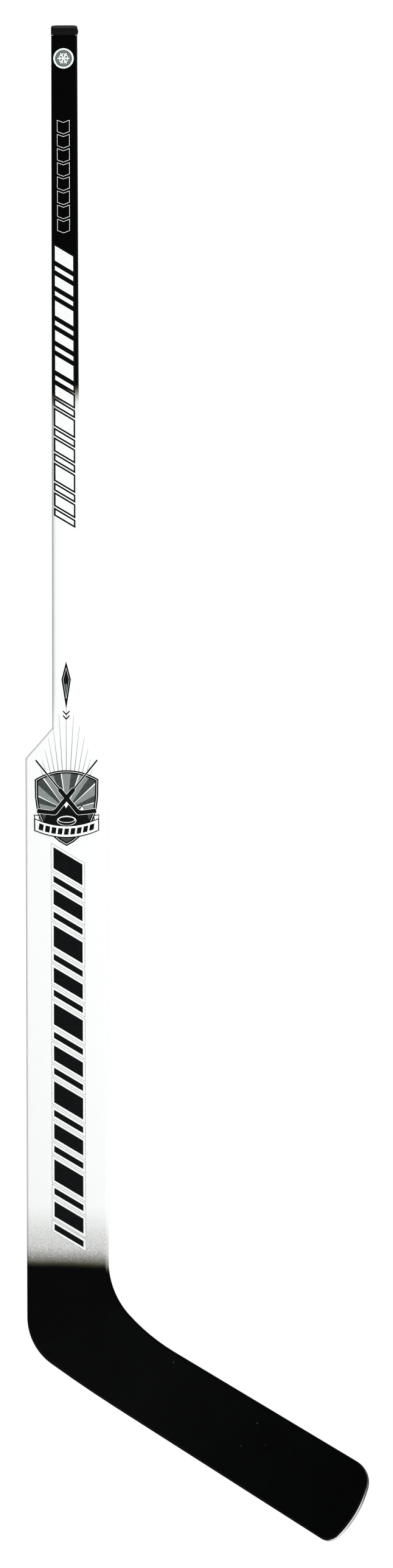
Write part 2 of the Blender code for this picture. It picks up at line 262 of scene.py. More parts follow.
# ---- nodes: sockets that can be used in sums, and one way to add any node ----
class Wire:
    def __init__(self, board, socket):
        self.board = board
        self.socket = socket

    def sum(self, operation, first, second):
        node = self.board.add("ShaderNodeMath", {"operation": operation}, {0: first, 1: second})
        return node.out("Value")

    def __add__(self, other):
        return self.sum("ADD", self, other)

    def __radd__(self, other):
        return self.sum("ADD", other, self)

    def __sub__(self, other):
        return self.sum("SUBTRACT", self, other)

    def __rsub__(self, other):
        return self.sum("SUBTRACT", other, self)

    def __mul__(self, other):
        return self.sum("MULTIPLY", self, other)

    def __rmul__(self, other):
        return self.sum("MULTIPLY", other, self)

    def __truediv__(self, other):
        return self.sum("DIVIDE", self, other)

    def __rtruediv__(self, other):
        return self.sum("DIVIDE", other, self)

    def __pow__(self, other):
        return self.sum("POWER", self, other)


class AddedNode:
    def __init__(self, board, node):
        self.board = board
        self.node = node

    def out(self, name=0):
        return Wire(self.board, self.node.outputs[name])


class Board:
    def __init__(self, tree):
        self.tree = tree

    def add(self, kind, settings=None, sockets=None):
        node = self.tree.nodes.new(kind)
        for name, value in (settings or {}).items():
            if name == "stops":
                self.fillRamp(node.color_ramp, value)
            else:
                setattr(node, name, value)
        for name, value in (sockets or {}).items():
            target = node.inputs[name]
            if isinstance(value, Wire):
                self.tree.links.new(value.socket, target)
            else:
                target.default_value = value
        return AddedNode(self, node)

    def fillRamp(self, ramp, stops):
        while len(ramp.elements) < len(stops):
            ramp.elements.new(1.0)
        for element, (position, colour) in zip(ramp.elements, stops):
            element.position = position
            element.color = (*colour, 1.0)

    def place(self):
        return self.add("ShaderNodeTexCoord").out("Object")

    def axes(self, place):
        node = self.add("ShaderNodeSeparateXYZ", None, {0: place})
        return node.out("X"), node.out("Y"), node.out("Z")

    def noise(self, vector, scale, detail=2.0, roughness=0.5):
        node = self.add("ShaderNodeTexNoise", None,
                        {"Vector": vector, "Scale": scale, "Detail": detail, "Roughness": roughness})
        return node.out(0)

    def smooth(self, value, low, high):
        # 0 at low and 1 at high, with soft ends. high may be below low
        node = self.add("ShaderNodeMapRange", {"interpolation_type": "SMOOTHSTEP"},
                        {"Value": value, "From Min": low, "From Max": high})
        return node.out("Result")

    def fold(self, value, width):
        # runs up to width and back down, over and over
        return self.add("ShaderNodeMath", {"operation": "PINGPONG"}, {0: value, 1: width}).out()

    def clamp(self, value):
        return self.add("ShaderNodeClamp", None, {"Value": value}).out()

    def blend(self, amount, first, second):
        node = self.add("ShaderNodeMix", {"data_type": "RGBA"}, {"Factor": amount, 6: first, 7: second})
        return node.out(2)

    def bump(self, height, distance, strength=1.0):
        node = self.add("ShaderNodeBump", None,
                        {"Height": height, "Distance": distance, "Strength": strength})
        return node.out("Normal")


def colour(red, green, blue):
    return (red, green, blue, 1.0)


def newMaterial(name):
    material = bpy.data.materials.new(name)
    material.use_nodes = True
    material.node_tree.nodes.clear()
    return material, Board(material.node_tree)


def surface(board, sockets):
    shader = board.add("ShaderNodeBsdfPrincipled", None, sockets)
    board.add("ShaderNodeOutputMaterial", None, {"Surface": shader.out("BSDF")})


# ---- finishes ----
paint = {
    "white": colour(0.86, 0.875, 0.87),
    "sprayDark": colour(0.060, 0.056, 0.032),  # black spray where it is thin, a little olive
    "black": colour(0.0009, 0.0010, 0.0011),
    "whiteRoughness": 0.34,
    "blackRoughness": 0.27,
    "specular": 0.08,
    "peelScale": 260.0,  # ripple of the sprayed lacquer
    "peelDepth": 0.000012,
    "speckleScale": 1150.0,
    "speckle": 1.15,
    "ragged": 0.004,  # how far the spray's edge wanders
    "haze": 0.10,
    "chip": colour(0.08, 0.08, 0.08),
    "chipAmount": 0.5,
    "blackCool": colour(0.0014, 0.0017, 0.0020),  # the blade's second black
}


def lacquer(name, blackAmount):
    # blackAmount says how much black lies over the white at a point
    material, board = newMaterial(name)
    place = board.place()
    x, y, z = board.axes(place)
    cloud = board.noise(place, 22.0, 3.0)
    speck = board.noise(place, paint["speckleScale"], 2.0, 0.7)
    thin, solid = blackAmount(board, x, z, cloud)
    grain = (speck - 0.5) * paint["speckle"] * thin * (1.0 - thin) * 4.0
    thin = board.clamp(thin + grain)
    tone = board.blend(thin, paint["white"], paint["sprayDark"])
    tone = board.blend(solid, tone, paint["black"])
    haze = (cloud - 0.5) * paint["haze"]
    rough = board.noise(place, 90.0, 4.0, 0.6)
    roughness = paint["whiteRoughness"] + solid * (paint["blackRoughness"] - paint["whiteRoughness"])
    roughness = board.clamp(roughness + haze + (rough - 0.5) * 0.08)
    peel = board.noise(place, paint["peelScale"], 1.5)
    surface(board, {
        "Base Color": tone,
        "Roughness": roughness,
        "Specular IOR Level": paint["specular"],
        "Normal": board.bump(peel, paint["peelDepth"]),
    })
    return material


shaftFade = {"height": 0.3066, "slant": 0.30, "half": 0.0105, "tail": 0.034, "tailAmount": 0.20}
paddleFade = {
    "height": -0.6256,
    "slant": -0.040,
    "half": 0.0120,
    "tail": 0.060,
    "tailAmount": 0.37,
    "edgeHighlightDrop": 0.0045,  # how much later the black starts on the right edge, a painted highlight on its lit bevel
    "edgeHighlightWidth": 0.0040,
    "edgeHighlightSoft": 0.0012,
}


def shaftBlack(board, x, z, cloud):
    # black at the butt, sprayed out to white halfway down
    above = z - shaftFade["height"] - x * shaftFade["slant"] + (cloud - 0.5) * paint["ragged"]
    main = board.smooth(above, -shaftFade["half"], shaftFade["half"])
    tail = board.smooth(above, -shaftFade["tail"], 0.0) * shaftFade["tailAmount"]
    thin = 1.0 - (1.0 - main) * (1.0 - tail)
    return thin, board.smooth(above, 0.6 * shaftFade["half"], 1.3 * shaftFade["half"])


def paddleBlack(board, x, z, cloud):
    # white paddle, sprayed out to black just above the heel; the black starts a little later along the
    # right edge, where a painted highlight stands in for its lit bevel
    # the band at the right edge stays white further down: painted highlight
    edge = halfPaddle - paddleFade["edgeHighlightWidth"]
    edgeHighlightDrop = board.smooth(x, edge, edge + paddleFade["edgeHighlightSoft"]) * paddleFade["edgeHighlightDrop"]
    below = paddleFade["height"] + x * paddleFade["slant"] - edgeHighlightDrop - z
    below = below + (cloud - 0.5) * paint["ragged"]
    main = board.smooth(below, -paddleFade["half"], paddleFade["half"])
    tail = board.smooth(below, -paddleFade["tail"], -0.2 * paddleFade["half"])
    tail = tail * paddleFade["tailAmount"]
    thin = 1.0 - (1.0 - main) * (1.0 - tail)
    return thin, board.smooth(below, 0.35 * paddleFade["half"], 1.1 * paddleFade["half"])


# a pale band painted on the toe's rounded lower end stands in for its highlight
toeHighlight = {
    "top": -0.878,
    "full": -0.905,
    "front": -0.0066,  # depths through the toe, from its middle, between which the pale painted highlight lies
    "back": 0.0020,
    "lowBack": 0.0066,
    "low": (-0.916, -0.934),
    "end": 0.2840,
    "endSoft": 0.002,
    "edgeSoft": 0.0003,
    "ragged": 0.0012,
    "tone": colour(0.84, 0.81, 0.78),
    "specular": 0.04,
}


def bladeLacquer(name, paintedToeHighlight=False):
    material, board = newMaterial(name)
    place = board.place()
    cloud = board.noise(place, 14.0, 3.0)
    fine = board.noise(place, 120.0, 5.0, 0.65)
    tone = board.blend(cloud, paint["black"], paint["blackCool"])
    # tiny chips in the lacquer
    chip = board.smooth(board.noise(place, 170.0, 0.0), 0.860, 0.885)
    tone = board.blend(chip * paint["chipAmount"], tone, paint["chip"])
    roughness = board.clamp(paint["blackRoughness"] + (cloud - 0.5) * 0.12 + (fine - 0.5) * 0.10)
    if paintedToeHighlight:
        # a pale band is painted on the toe's lower end towards the front, a painted highlight where the
        # rounded edge catches the light, and black comes round from the back
        x, y, z = board.axes(place)
        radius = (stickShape["bladeLength"] - stickShape["bowStart"]) / stickShape["bowAngle"]
        along = (x - heelCorner.x) * alongSole.x + (z - heelCorner.y) * alongSole.y
        along = along - stickShape["bowStart"]
        depth = (along * along + (y + radius) * (y + radius)) ** 0.5 - radius
        limit = toeHighlight["front"] + board.smooth(z, toeHighlight["top"], toeHighlight["full"]) * (
            toeHighlight["back"] - toeHighlight["front"])
        limit = limit + board.smooth(z, toeHighlight["low"][0], toeHighlight["low"][1]) * (
            toeHighlight["lowBack"] - toeHighlight["back"])
        limit = limit + (fine - 0.5) * toeHighlight["ragged"]
        toeHighlightMask = board.smooth(limit - depth, -toeHighlight["edgeSoft"], toeHighlight["edgeSoft"])
        endLow = toeHighlight["end"] - toeHighlight["endSoft"]
        endHigh = toeHighlight["end"] + toeHighlight["endSoft"]
        toeHighlightMask = toeHighlightMask * board.smooth(x, endLow, endHigh)
        tone = board.blend(board.clamp(toeHighlightMask * (0.86 + 0.28 * fine)), tone, toeHighlight["tone"])
    peel = board.noise(place, paint["peelScale"], 1.5)
    surface(board, {
        "Base Color": tone,
        "Roughness": roughness,
        "Specular IOR Level": toeHighlight["specular"] if paintedToeHighlight else paint["specular"],
        "Normal": board.bump(peel, paint["peelDepth"]),
    })
    return material


plastic = {
    "deep": colour(0.0020, 0.0021, 0.0022),
    "light": colour(0.0060, 0.0058, 0.0056),
    "wornDeep": colour(0.012, 0.0115, 0.011),
    "wornLight": colour(0.085, 0.080, 0.075),
    "wornAmount": 0.6,
    "rimBelow": (0.0034, 0.0022),  # the wear fades in between these depths under the top
    "specular": 0.18,
}


def mouldedPlastic():
    material, board = newMaterial("grained butt plastic")
    place = board.place()
    x, y, z = board.axes(place)
    grain = board.noise(place, 1500.0, 4.0, 0.7)
    cloud = board.noise(place, 160.0, 3.0)
    rim = board.smooth(z, capHigh.z - plastic["rimBelow"][0], capHigh.z - plastic["rimBelow"][1])
    tone = board.blend(board.clamp(grain * 0.6 + cloud * 0.4), plastic["deep"], plastic["light"])
    worn = board.blend(board.smooth(grain, 0.35, 0.65), plastic["wornDeep"], plastic["wornLight"])
    tone = board.blend(rim * plastic["wornAmount"], tone, worn)
    surface(board, {
        "Base Color": tone,
        "Roughness": board.clamp(0.50 + grain * 0.25),
        "Specular IOR Level": plastic["specular"],
        "Normal": board.bump(grain, 0.00006, 0.8),
    })
    return material


def printInk(name, deep, light, roughness):
    # screen-printed ink: a faint mottle, and a film that is a little uneven
    material, board = newMaterial(name)
    place = board.place()
    mottle = board.noise(place, 420.0, 3.0, 0.6)
    film = board.noise(place, 60.0, 2.0)
    surface(board, {
        "Base Color": board.blend(board.smooth(mottle, 0.30, 0.70), deep, light),
        "Roughness": board.clamp(roughness + (film - 0.5) * 0.14),
        "Specular IOR Level": paint["specular"],
        "Normal": board.bump(film, 0.00002),
    })
    return material


def laminatedWood():
    material, board = newMaterial("laminated ash")
    place = board.place()
    x, y, z = board.axes(place)
    grainScale = (420.0, 420.0, 26.0)
    stretched = board.add("ShaderNodeMapping", None, {"Vector": place, "Scale": grainScale}).out()
    grain = board.noise(stretched, 1.0, 5.0, 0.62)
    plyThickness = 0.0021
    seam = board.smooth(board.fold(x, plyThickness), 0.00028, 0.0001)
    woodStops = ((0.25, (0.40, 0.24, 0.11)), (0.75, (0.66, 0.47, 0.27)))
    tone = board.add("ShaderNodeValToRGB", {"stops": woodStops}, {0: grain}).out("Color")
    tone = board.blend(seam * 0.7, tone, colour(0.16, 0.09, 0.04))
    surface(board, {"Base Color": tone, "Roughness": board.clamp(0.48 + grain * 0.25),
                    "Normal": board.bump(grain, 0.0002)})
    return material


def foam(name, deep, light, cellScale):
    material, board = newMaterial(name)
    place = board.place()
    cells = board.add("ShaderNodeTexVoronoi", None, {"Vector": place, "Scale": cellScale})
    cells = cells.out("Distance")
    cloud = board.noise(place, 70.0, 3.0)
    surface(board, {
        "Base Color": board.blend(board.clamp(cells * 0.8 + cloud * 0.3), deep, light),
        "Roughness": board.clamp(0.80 + cloud * 0.15),
        "Normal": board.bump(cells, 0.0003),
    })
    return material


def carbonCloth(name):
    material, board = newMaterial(name)
    x, y, z = board.axes(board.place())
    tow = 0.001  # width of one bundle of fibres
    upRight = board.fold(y + z, tow) * (1 / tow)
    upLeft = board.fold(y - z, tow) * (1 / tow)
    weave = board.clamp(upRight * (1.0 - upLeft) + upLeft * (1.0 - upRight))
    tone = board.blend(weave, colour(0.008, 0.008, 0.009), colour(0.045, 0.045, 0.05))
    # the sliver that shows at the paddle's neck is painted over
    painted = board.smooth(z, shoulderTop - 0.0030, shoulderTop - 0.0025)
    surface(board, {
        "Base Color": board.blend(painted, tone, paint["white"]),
        "Roughness": board.clamp(0.22 + weave * 0.2),
        "Normal": board.bump(weave, 0.00008),
    })
    return material


shaftPaint = lacquer("shaft lacquer", shaftBlack)
paddlePaint = lacquer("paddle lacquer", paddleBlack)
bladePaint = bladeLacquer("blade lacquer")
toeLacquerWithHighlight = bladeLacquer("toe lacquer with painted highlight", True)
buttPlastic = mouldedPlastic()
inkBlack = printInk("black ink", colour(0.0032, 0.0037, 0.0040), colour(0.0058, 0.0066, 0.0070), 0.33)
inkWhite = printInk("white ink", colour(0.80, 0.83, 0.825), colour(0.90, 0.92, 0.915), 0.36)
inkPale = printInk("pale grey ink", colour(0.215, 0.240, 0.232), colour(0.255, 0.280, 0.272), 0.4)
inkDeep = printInk("deep grey ink", colour(0.046, 0.055, 0.053), colour(0.058, 0.068, 0.066), 0.4)
inkLine = printInk("keyline ink", colour(0.23, 0.24, 0.235), colour(0.30, 0.31, 0.305), 0.4)
inkDisc = printInk("badge grey ink", colour(0.145, 0.190, 0.180), colour(0.180, 0.228, 0.216), 0.4)
print("goal stick: finishes mixed")

# ---- the hollow shaft ----
shaftSizes = {
    "wall": 0.0018,
    "corner": 0.0042,
    "cornerAtShoulder": 0.0026,  # the corners tighten to meet the paddle's edges
    "tighten": 0.045,
    "widthButt": 0.0285,
    "cornerSteps": 9,
    "rows": 26,
}


def halfWidthAt(height):
    share = (height - shoulderTop) / (capHigh.z - shoulderTop)
    return halfNeck + (shaftSizes["widthButt"] / 2 - halfNeck) * share


def roundedSection(halfWidth, halfDepth, corner, height):
    points = []
    steps = shaftSizes["cornerSteps"]
    for quarter, (sideX, sideY) in enumerate(((1, 1), (-1, 1), (-1, -1), (1, -1))):
        for step in range(steps + 1):
            angle = math.pi / 2 * (quarter + step / steps)
            points.append((sideX * (halfWidth - corner) + corner * math.cos(angle),
                           sideY * (halfDepth - corner) + corner * math.sin(angle), height))
    return points


def shaftRing(height, inset):
    near = min(1.0, (height - shoulderTop) / shaftSizes["tighten"])
    ease = near * near * (3 - 2 * near)
    tight = shaftSizes["cornerAtShoulder"]
    corner = max(tight + (shaftSizes["corner"] - tight) * ease - inset, 0.0006)
    return roundedSection(halfWidthAt(height) - inset, halfThick - inset, corner, height)


def makeShaft():
    low = shoulderTop - 0.00005
    high = shaftHigh.z
    rows = shaftSizes["rows"]
    heights = [low + (high - low) * (row / rows) ** 1.6 for row in range(rows + 1)]
    lip = 0.00025  # the tube's cut ends are eased by this much
    rings = [shaftRing(low, 0)]
    rings += [shaftRing(height, 0) for height in heights[1:-1]]
    rings += [shaftRing(high - lip, 0), shaftRing(high, lip)]
    rings += [shaftRing(high, shaftSizes["wall"]), shaftRing(low, shaftSizes["wall"])]
    form = bmesh.new()
    stacked = stackRings(form, rings)
    for index in range(len(stacked[0])):
        beside = (index + 1) % len(stacked[0])
        form.faces.new((stacked[-1][index], stacked[-1][beside], stacked[0][beside], stacked[0][index]))
    finishPiece("shaftTube", form, shaftPaint, ["shaft_tube"])


makeShaft()
print("goal stick: shaft made")

# ---- the moulded butt cap ----
capSizes = {
    "proud": 0.0002,
    "rim": 0.0024,  # height of the rounded rim
    "groove": 0.00028,
    "spigotLength": 0.0280,
    "spigotWall": 0.0022,
    "fit": 0.0003,
    "bulge": 0.0010,  # the right side is pushed out by wear just under the rim
    "bulgeBelow": 0.0066,
    "bulgeHalf": 0.0042,
    "lip": 0.0002,  # and the left side has a small lip at the rim
    "dome": 0.0003,
}


def makeButtCap():
    top = capHigh.z
    under = capLow.z + capSizes["spigotLength"]
    spigotInset = shaftSizes["wall"] + capSizes["fit"]
    boreInset = spigotInset + capSizes["spigotWall"]
    width = halfWidthAt(shaftHigh.z)
    rings = []

    def addRing(inset, height, corner):
        ring = []
        for x, y, z in roundedSection(width - inset, halfThick - inset, max(corner, 0.0005), height):
            past = abs(top - capSizes["bulgeBelow"] - z) / capSizes["bulgeHalf"]
            swell = capSizes["bulge"] * (1 - past * past) ** 2 if past < 1 and z > under else 0.0
            nearRim = max(0.0, 1 - abs(top - 0.0031 - z) / 0.0012)
            x += swell * max(0.0, x / width) ** 3 * (1 - (y / halfThick) ** 2 * 0.5)
            x += capSizes["lip"] * nearRim * min(0.0, x / width)
            ring.append((x, y, z))
        rings.append(ring)

    addRing(boreInset, under, 0.0012)
    addRing(boreInset, capLow.z + 0.0004, 0.0012)
    addRing(boreInset - 0.0004, capLow.z, 0.0014)
    addRing(spigotInset + 0.0004, capLow.z, 0.0022)
    addRing(spigotInset, capLow.z + 0.0004, 0.0024)
    addRing(spigotInset, under, 0.0024)
    proud = -capSizes["proud"]
    corner = shaftSizes["corner"]
    addRing(proud + 0.0003, under, corner)
    addRing(proud, under + 0.0003, corner)
    rimFoot = top - capSizes["rim"] - 0.0006
    for step in range(7):
        addRing(proud, under + 0.0006 + (rimFoot - 0.0005 - under - 0.0006) * step / 6, corner)
    addRing(proud + capSizes["groove"], rimFoot - 0.0002, corner)
    addRing(proud + capSizes["groove"], rimFoot + 0.0001, corner)
    addRing(proud - 0.0001, rimFoot + 0.0005, corner)
    for step in range(9):
        angle = math.pi / 2 * step / 8
        inset = capSizes["rim"] * (1 - math.cos(angle))
        addRing(proud + inset, top - capSizes["rim"] * (1 - math.sin(angle)), corner - inset * 0.6)
    addRing(proud + capSizes["rim"] + 0.0010, top + capSizes["dome"] * 0.3, corner - 0.0022)
    addRing(proud + capSizes["rim"] + 0.0030, top + capSizes["dome"], 0.0012)
    form = bmesh.new()
    stacked = stackRings(form, rings)
    form.faces.new(stacked[0])
    form.faces.new(stacked[-1])
    finishPiece("buttCap", form, buttPlastic, ["butt_end_cap"], 40.0)


makeButtCap()
print("goal stick: butt cap made")

# ---- paddle and blade: two skins with rolled rims over rails and blocks ----
sandwich = {
    "skin": 0.0008,
    "rim": 0.0024,  # radius of the skins' rolled rims
    "seam": 0.0001,
    "fit": 0.0003,
    "rimSteps": 7,
    "rail": 0.0050,
    "shoulderBlock": 0.0300,
    "heelTop": 0.0120,
    "heelReach": 0.1050,
    "toeMargin": 0.0050,
    "neckSpare": 0.0100,  # the outline runs this far past the neck before it is cut
    "topRail": 0.0060,
    "soleRail": 0.0080,
}


def skinProfile(side):
    rim = sandwich["rim"]
    inner = rim - sandwich["skin"]
    steps = sandwich["rimSteps"]
    profile = [(rim + 0.0005, side * halfThick)]
    for step in range(steps + 1):
        angle = math.pi / 2 * step / steps
        profile.append((rim * (1 - math.sin(angle)), side * (halfThick - rim * (1 - math.cos(angle)))))
    for step in range(steps, -1, -1):
        angle = math.pi / 2 * step / steps
        depth = halfThick - rim + inner * math.cos(angle)
        profile.append((rim - inner * math.sin(angle), side * depth))
    profile.append((rim + 0.0005, side * (halfThick - sandwich["skin"])))
    return profile


def corePiece(name, material, node, cuts, bowed=False):
    form = coreForm.copy()
    for point, away in cuts:
        trim(form, point, away)
    if bowed:
        bowForm(form)
    return finishPiece(name, form, material, [node])


neckCut = shoulderTop - sandwich["seam"]  # the paddle's top edge, just under the shaft
stickOutline = lowerOutline(shoulderTop + sandwich["neckSpare"])
mitreGap = 0.00002  # half the gap between paddle and blade
innerTop = onBlade(0.0, stickShape["bladeHeight"])
throatInner = Vector((halfPaddle, innerTop.y + (halfPaddle - innerTop.x) * alongTop.y / alongTop.x))
mitre = (throatInner - heelCorner).normalized()
mitreUp = Vector((-mitre.y, mitre.x))

for side, word in ((-1, "front"), (1, "back")):
    whole = layerForm(stickOutline, skinProfile(side))
    paddleForm = whole.copy()
    trim(paddleForm, (0.0, neckCut), (0.0, 1.0))
    trim(paddleForm, heelCorner + mitreUp * mitreGap, -mitreUp)
    finishPiece("paddleSkin" + word.title(), paddleForm, paddlePaint,
                ["paddle_skin_" + word])
    trim(whole, heelCorner - mitreUp * mitreGap, mitreUp)
    bowForm(whole)
    finishPiece("bladeSkin" + word.title(), whole, bladePaint, ["blade_skin_" + word])
print("goal stick: skins made")

coreFace = halfThick - sandwich["skin"] - sandwich["fit"]
seamDepth = halfThick - sandwich["rim"] - sandwich["seam"]
coreProfile = [(0.0026, -coreFace), (0.0010, -seamDepth), (0.0, -seamDepth),
               (0.0, seamDepth), (0.0010, seamDepth), (0.0026, coreFace)]
coreForm = layerForm(stickOutline, coreProfile)
fit = sandwich["fit"]
blockFoot = shoulderFoot - sandwich["shoulderBlock"]
coarse = math.radians(7.0)  # the frame's own arc step, which sets where its blocks end
heelTop = throatRun(coarse)[0].y + sandwich["heelTop"]
toeRunPoints = toeRun(coarse)
toeStart = min((point - heelCorner).dot(alongSole) for point in (toeRunPoints[0], toeRunPoints[-1]))
toeCut = toeStart - sandwich["toeMargin"]

for side, word in ((-1, "left"), (1, "right")):
    inwards = (-side, 0.0)
    beside = side * (halfNeck + fit)
    railInner = side * (halfPaddle - sandwich["rail"])
    corePiece("shoulderBlock" + word.title(), paddlePaint, "shoulder_block_" + word,
              [((0.0, neckCut), (0.0, 1.0)), ((beside, 0.0), inwards), ((0.0, blockFoot), (0.0, -1.0))])
    corePiece("paddleEdge" + word.title(), paddlePaint, "paddle_edge_" + word,
              [((railInner, 0.0), inwards), ((0.0, blockFoot - fit), (0.0, 1.0)),
               ((0.0, heelTop + fit), (0.0, -1.0))])

pastHeel = onBlade(sandwich["heelReach"], 0.0)
pastToe = onBlade(toeCut, 0.0)
corePiece("heelBlock", paddlePaint, "heel_block",
          [((0.0, heelTop), (0.0, 1.0)), (pastHeel, alongSole)])
corePiece("toeBlock", toeLacquerWithHighlight, "toe_block", [(pastToe, -alongSole)], True)
squareTop = Vector((math.sin(topAngle), math.cos(topAngle)))
underTopRail = onBlade(0.0, stickShape["bladeHeight"]) - squareTop * sandwich["topRail"]
overSoleRail = onBlade(0.0, sandwich["soleRail"])
between = [(pastHeel + alongSole * fit, -alongSole), (pastToe - alongSole * fit, alongSole)]
corePiece("bladeEdgeTop", bladePaint, "blade_edge_top",
          between + [(underTopRail, -squareTop)], True)
corePiece("bladeEdgeSole", bladePaint, "blade_edge_sole",
          between + [(overSoleRail, aboveSole)], True)
coreForm.free()
print("goal stick: rails and blocks made")

# ---- what lies inside stays as the frame has it, with its own finish ----
insideFinish = {
    "paddle_tenon": laminatedWood(),
    "paddle_rib": carbonCloth("rib carbon"),
    "paddle_core": foam("paddle foam", colour(0.58, 0.50, 0.33), colour(0.80, 0.74, 0.56), 900.0),
    "blade_core": foam("blade foam", colour(0.62, 0.56, 0.40), colour(0.84, 0.80, 0.65), 1200.0),
    "blade_stringer": carbonCloth("stringer carbon"),
}
for name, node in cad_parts.items():
    for start, finish in insideFinish.items():
        if name.startswith(start):
            node.data.materials.clear()
            node.data.materials.append(finish)
print("goal stick: inner pieces finished")

# ---- printing: thin closed plates of ink on both faces ----
layerStep = 0.00006  # each layer of ink stands this far over the one below
inkSunk = 0.00002


def inkPlate(form, outline, level, hole=None):
    low = halfThick - inkSunk
    high = halfThick + level * layerStep
    for side in (-1, 1):
        rings = [[(point.x * mm, side * depth, point.y * mm) for point in ring]
                 for ring, depth in ((outline, low), (outline, high))]
        if hole is None:
            rows = stackRings(form, rings)
            form.faces.new(rows[0])
            form.faces.new(rows[1])
        else:
            rings += [[(point.x * mm, side * depth, point.y * mm) for point in hole]
                      for depth in (high, low)]
            rows = stackRings(form, rings)
            for index in range(len(rows[0])):
                beside = (index + 1) % len(rows[0])
                form.faces.new((rows[3][index], rows[3][beside], rows[0][beside], rows[0][index]))


def inkForm(plates):
    # plates hold an outline in millimetres, a level, and a hole or nothing
    form = bmesh.new()
    for outline, level, hole in plates:
        inkPlate(form, outline, level, hole)
    return form


def inkPiece(name, plates, ink):
    return finishPiece(name, inkForm(plates), ink)


def turned(points):
    # the same outline, anticlockwise
    area = sum(a.x * b.y - b.x * a.y for a, b in zip(points, points[1:] + points[:1]))
    return points if area > 0 else points[::-1]


def shape(*corners):
    return turned([Vector(corner) for corner in corners])


def disc(centre, radiusX, radiusZ, steps=48):
    points = []
    for step in range(steps):
        angle = 2 * math.pi * step / steps
        reach = (radiusX * math.cos(angle), radiusZ * math.sin(angle))
        points.append(Vector((centre[0] + reach[0], centre[1] + reach[1])))
    return points


def slantBar(left, right, top, height, slope):
    # a bar whose ends are upright and whose long sides fall to the right
    drop = (right - left) * slope
    return [Vector((left, top)), Vector((left, top - height)), Vector((right, top - drop - height)),
            Vector((right, top - drop))]


# ---- node trees that repeat a mark ----
def newTree(name, inputs):
    tree = bpy.data.node_groups.new(name, "GeometryNodeTree")
    tree.interface.new_socket("Geometry", in_out="INPUT", socket_type="NodeSocketGeometry")
    for label, kind in inputs:
        tree.interface.new_socket(label, in_out="INPUT", socket_type="NodeSocket" + kind)
    tree.interface.new_socket("Geometry", in_out="OUTPUT", socket_type="NodeSocketGeometry")
    board = Board(tree)
    return tree, board, board.add("NodeGroupInput")


def closeTree(board, given, points, rotation=None, scale=None):
    sockets = {"Points": points, "Instance": given.out("Geometry")}
    if rotation:
        sockets["Rotation"] = rotation
        sockets["Scale"] = scale
    copies = board.add("GeometryNodeInstanceOnPoints", None, sockets).out("Instances")
    real = board.add("GeometryNodeRealizeInstances", None, {0: copies}).out()
    inked = board.add("GeometryNodeSetMaterial", None, {"Geometry": real, "Material": given.out("Ink")})
    board.add("NodeGroupOutput", None, {0: inked.out()})


def repeatDownTree():
    tree, board, given = newTree("marks down the stick", (
        ("Count", "Int"), ("Pitch", "Float"), ("Ink", "Material")))
    offset = board.add("ShaderNodeCombineXYZ", None, {"Z": given.out("Pitch") * -1.0}).out()
    line = board.add("GeometryNodeMeshLine", {"mode": "OFFSET", "count_mode": "TOTAL"},
                     {"Count": given.out("Count"), "Offset": offset})
    closeTree(board, given, line.out("Mesh"))
    return tree


def fanTree():
    # rays that spread from a pivot, longest in the middle
    tree, board, given = newTree("fan of rays", (
        ("Count", "Int"), ("Spread", "Float"), ("Start", "Float"), ("Long Ray", "Float"),
        ("Short Ray", "Float"), ("Pivot", "Vector"), ("Ink", "Material")))
    line = board.add("GeometryNodeMeshLine", {"mode": "OFFSET", "count_mode": "TOTAL"},
                     {"Count": given.out("Count"), "Offset": (0.0, 0.0, 0.0)})
    index = board.add("GeometryNodeInputIndex").out()
    across = index / (given.out("Count") - 1.0) * 2.0 - 1.0
    angle = across * given.out("Spread") * 0.5
    fromMiddle = board.add("ShaderNodeMath", {"operation": "ABSOLUTE"}, {0: across}).out()
    longRay = given.out("Long Ray")
    start = given.out("Start")
    length = longRay + (given.out("Short Ray") - longRay) * fromMiddle ** 0.8
    sine = board.add("ShaderNodeMath", {"operation": "SINE"}, {0: angle}).out()
    cosine = board.add("ShaderNodeMath", {"operation": "COSINE"}, {0: angle}).out()
    away = board.add("ShaderNodeCombineXYZ", None, {"X": sine * start, "Z": cosine * start})
    spot = board.add("ShaderNodeVectorMath", {"operation": "ADD"},
                     {0: away.out(), 1: given.out("Pivot")}).out()
    placed = board.add("GeometryNodeSetPosition", None,
                       {"Geometry": line.out("Mesh"), "Position": spot}).out()
    rotation = board.add("ShaderNodeCombineXYZ", None, {"Y": angle}).out()
    scale = board.add("ShaderNodeCombineXYZ", None, {"X": 1.0, "Y": 1.0, "Z": length}).out()
    closeTree(board, given, placed, rotation, scale)
    return tree


def grow(piece, tree, values):
    # runs a node tree on the piece and keeps the result as its plain mesh
    modifier = piece.modifiers.new(tree.name, "NODES")
    modifier.node_group = tree
    for item in tree.interface.items_tree:
        if item.in_out == "INPUT" and item.name in values:
            modifier[item.identifier] = values[item.name]
    evaluated = piece.evaluated_get(bpy.context.evaluated_depsgraph_get())
    grown = bpy.data.meshes.new_from_object(evaluated)
    piece.modifiers.remove(modifier)
    piece.data = grown
    return piece


def repeatedInk(name, plates, ink, tree, values):
    # one mark, which the node tree repeats
    piece = grow(newPiece(name, inkForm(plates), ink), tree, {**values, "Ink": ink})
    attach(piece, "root")
    return piece


downTree = repeatDownTree()
raysTree = fanTree()

